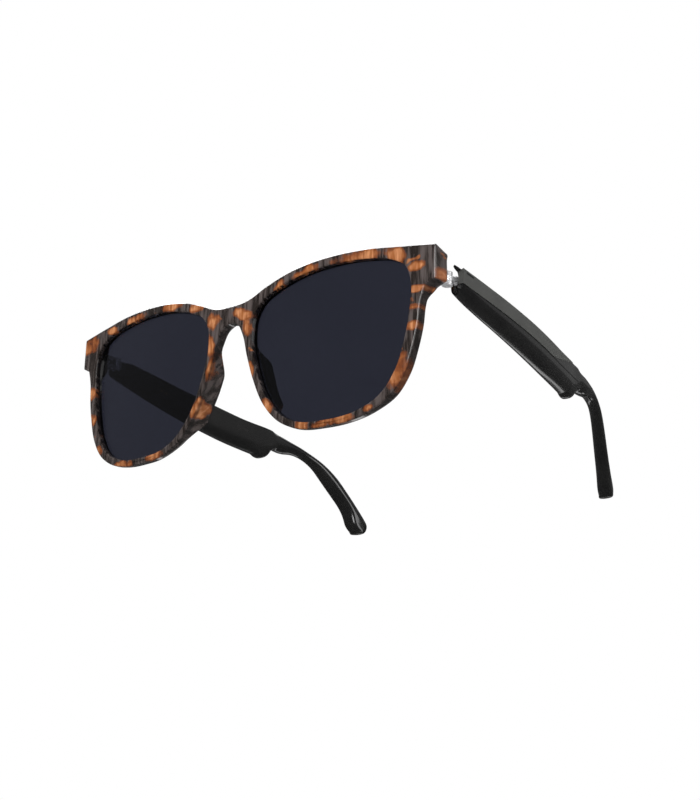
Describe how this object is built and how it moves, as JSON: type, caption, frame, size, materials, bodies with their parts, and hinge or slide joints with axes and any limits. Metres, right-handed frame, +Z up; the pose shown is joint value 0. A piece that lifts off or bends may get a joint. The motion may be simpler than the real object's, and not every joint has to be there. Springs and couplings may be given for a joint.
{
  "type": "smart glasses",
  "caption": "Full-rim audio smart glasses: tortoiseshell front with dark square lenses and two folding black temples that hold battery, board and speaker.",
  "frame": {"origin": "under the middle of the open glasses, on the surface they stand on", "axes": "+X to the wearer's left, +Y from the front towards the ears, +Z up"},
  "size_m": [0.1482, 0.1408, 0.0533],
  "materials": {
    "tortoise_acetate": "polished tortoiseshell acetate, dark brown with amber patches",
    "dark_lens": "dark navy-grey tinted sun lens",
    "hinge_steel": "plain satin steel",
    "temple_black": "polished black moulded plastic",
    "panel_grey": "dark grey satin gloss panel",
    "board_green": "green solder mask",
    "chip_black": "moulded black chip packages",
    "battery_foil": "soft aluminium pouch",
    "speaker_metal": "pressed metal can",
    "mesh_dark": "black woven metal mesh",
    "contact_gold": "gold-plated contact",
    "magnet_nickel": "nickel-plated magnet",
    "film_amber": "amber polyimide film"
  },
  "bodies": {
    "front": {"front_frame": "tortoise_acetate", "front_hinge_left": "hinge_steel", "front_hinge_right": "hinge_steel", "front_hinge_screws": "hinge_steel", "hinge_pins": "hinge_steel", "lens_left": "dark_lens", "lens_right": "dark_lens"},
    "left_temple": {"battery_left": "battery_foil", "board_chips_left": "chip_black", "charging_contacts_left": "contact_gold", "charging_magnets_left": "magnet_nickel", "circuit_board_left": "board_green", "flex_cable_left": "film_amber", "inner_cover_left": "temple_black", "microphone_left": "speaker_metal", "outer_panel_left": "panel_grey", "speaker_left": "speaker_metal", "speaker_mesh_left": "mesh_dark", "temple_hinge_left": "hinge_steel", "temple_hinge_screws_left": "hinge_steel", "temple_shell_left": "temple_black", "touch_sensor_left": "film_amber"},
    "right_temple": {"battery_right": "battery_foil", "board_chips_right": "chip_black", "charging_contacts_right": "contact_gold", "charging_magnets_right": "magnet_nickel", "circuit_board_right": "board_green", "flex_cable_right": "film_amber", "inner_cover_right": "temple_black", "microphone_right": "speaker_metal", "outer_panel_right": "panel_grey", "speaker_mesh_right": "mesh_dark", "speaker_right": "speaker_metal", "temple_hinge_right": "hinge_steel", "temple_hinge_screws_right": "hinge_steel", "temple_shell_right": "temple_black", "touch_sensor_right": "film_amber"}
  },
  "joints": [
    {"name": "left_temple_fold", "type": "hinge", "parent": "front", "child": "left_temple", "pos_m": [0.0692, -0.05135, 0.0437], "axis": [0, 0, 1], "range_deg": [0, 84]},
    {"name": "right_temple_fold", "type": "hinge", "parent": "front", "child": "right_temple", "pos_m": [-0.0692, -0.05135, 0.0437], "axis": [0, 0, -1], "range_deg": [0, 76]}
  ]
}
